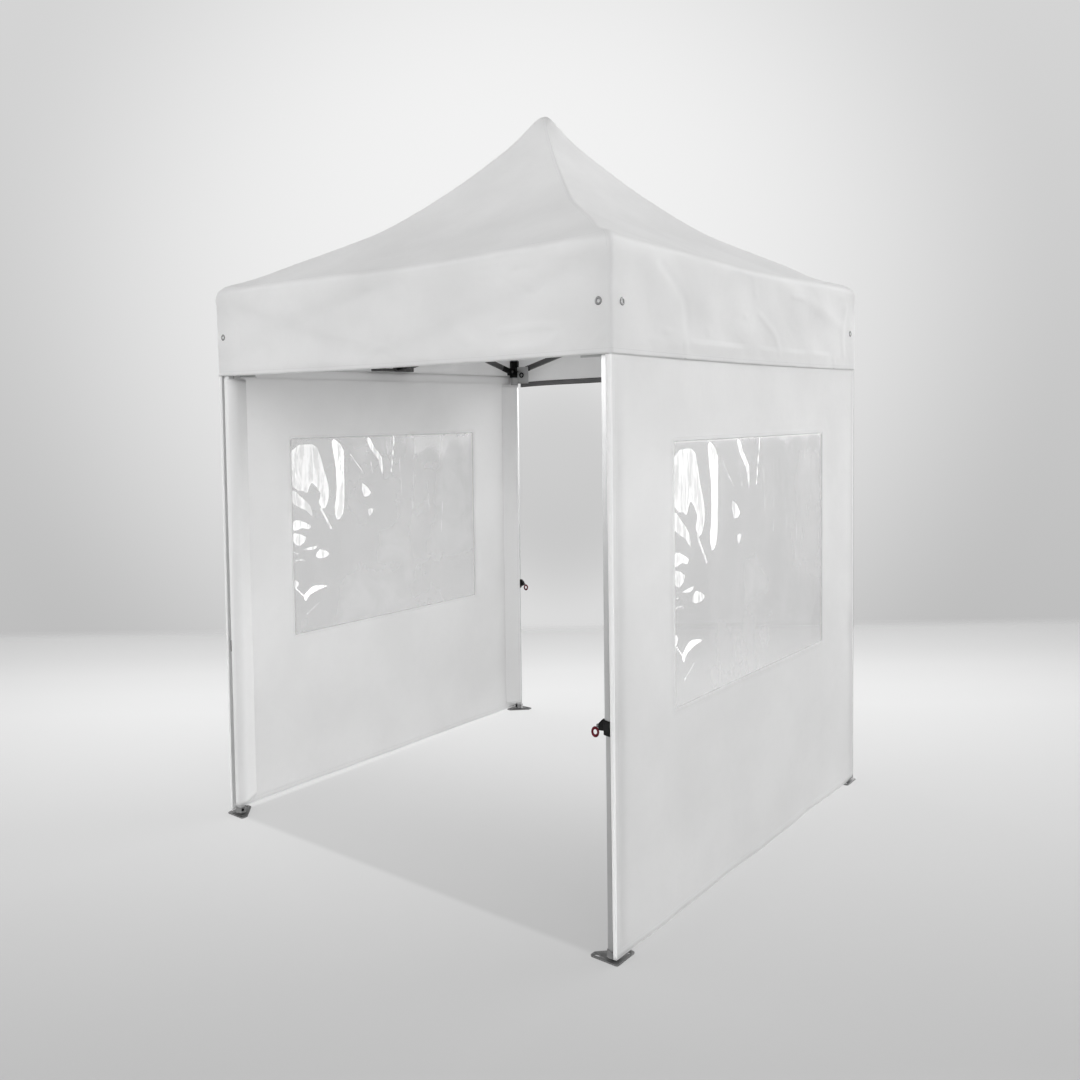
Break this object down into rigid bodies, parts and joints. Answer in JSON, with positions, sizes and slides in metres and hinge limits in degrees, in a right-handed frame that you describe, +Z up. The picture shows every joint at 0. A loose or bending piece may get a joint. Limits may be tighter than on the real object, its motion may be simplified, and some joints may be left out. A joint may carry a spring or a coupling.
{
  "type": "pop-up marquee tent",
  "caption": "Square pop-up marquee with a concave peaked roof, valance, windowed side walls left and right, open front and back, and a hexagonal telescopic aluminium frame.",
  "frame": {"origin": "on the ground, midway between the four legs", "axes": "+X towards the right side seen from the open front, +Y towards the back, +Z up"},
  "size_m": [2.044, 2.044, 3.045],
  "materials": {
    "aluminium": "anodised, satin",
    "steel": "zinc plated",
    "nylon": "moulded, black",
    "ring": "moulded, dark red",
    "canopy": "coated polyester, white",
    "wall": "coated polyester, white",
    "film": "soft clear film"
  },
  "bodies": {
    "frame": {"outer_leg_front_left": "aluminium", "outer_leg_front_right": "aluminium", "outer_leg_back_right": "aluminium", "outer_leg_back_left": "aluminium", "leg_lock_front_left": "nylon", "leg_lock_front_right": "nylon", "leg_lock_back_right": "nylon", "leg_lock_back_left": "nylon", "corner_bracket_front_left": "nylon", "corner_bracket_front_right": "nylon", "corner_bracket_back_right": "nylon", "corner_bracket_back_left": "nylon", "slider_bracket_front_left": "nylon", "slider_bracket_front_right": "nylon", "slider_bracket_back_right": "nylon", "slider_bracket_back_left": "nylon", "side_truss_front": "aluminium", "side_truss_right": "aluminium", "side_truss_back": "aluminium", "side_truss_left": "aluminium", "roof_truss_front": "aluminium", "roof_truss_right": "aluminium", "roof_truss_back": "aluminium", "roof_truss_left": "aluminium", "upper_hub": "nylon", "lower_hub": "nylon", "peak_pole": "aluminium", "roof_panel_front": "canopy", "roof_panel_right": "canopy", "roof_panel_back": "canopy", "roof_panel_left": "canopy", "valance_front": "canopy", "valance_right": "canopy", "valance_back": "canopy", "valance_left": "canopy", "side_wall_left": "wall", "side_wall_right": "wall", "window_left": "film", "window_right": "film"},
    "front_left_leg": {"inner_leg_front_left": "aluminium", "foot_plate_front_left": "steel"},
    "front_right_leg": {"inner_leg_front_right": "aluminium", "foot_plate_front_right": "steel"},
    "back_right_leg": {"inner_leg_back_right": "aluminium", "foot_plate_back_right": "steel"},
    "back_left_leg": {"inner_leg_back_left": "aluminium", "foot_plate_back_left": "steel"},
    "front_left_pin": {"lock_ring_front_left": "ring"},
    "front_right_pin": {"lock_ring_front_right": "ring"},
    "back_right_pin": {"lock_ring_back_right": "ring"},
    "back_left_pin": {"lock_ring_back_left": "ring"}
  },
  "joints": [
    {"name": "front_left_leg_slide", "type": "slide", "parent": "frame", "child": "front_left_leg", "axis": [0, 0, -1], "range_m": [0, 0.2]},
    {"name": "front_right_leg_slide", "type": "slide", "parent": "frame", "child": "front_right_leg", "axis": [0, 0, -1], "range_m": [0, 0.2]},
    {"name": "back_right_leg_slide", "type": "slide", "parent": "frame", "child": "back_right_leg", "axis": [0, 0, -1], "range_m": [0, 0.2]},
    {"name": "back_left_leg_slide", "type": "slide", "parent": "frame", "child": "back_left_leg", "axis": [0, 0, -1], "range_m": [0, 0.2]},
    {"name": "front_left_pin_pull", "type": "slide", "parent": "frame", "child": "front_left_pin", "axis": [-0.2588, 0.9659, 0], "range_m": [0, 0.008], "stiffness_N_per_m": 500},
    {"name": "front_right_pin_pull", "type": "slide", "parent": "frame", "child": "front_right_pin", "axis": [-0.9659, -0.2588, 0], "range_m": [0, 0.008], "stiffness_N_per_m": 500},
    {"name": "back_right_pin_pull", "type": "slide", "parent": "frame", "child": "back_right_pin", "axis": [0.2588, -0.9659, 0], "range_m": [0, 0.008], "stiffness_N_per_m": 500},
    {"name": "back_left_pin_pull", "type": "slide", "parent": "frame", "child": "back_left_pin", "axis": [0.9659, 0.2588, 0], "range_m": [0, 0.008], "stiffness_N_per_m": 500}
  ]
}
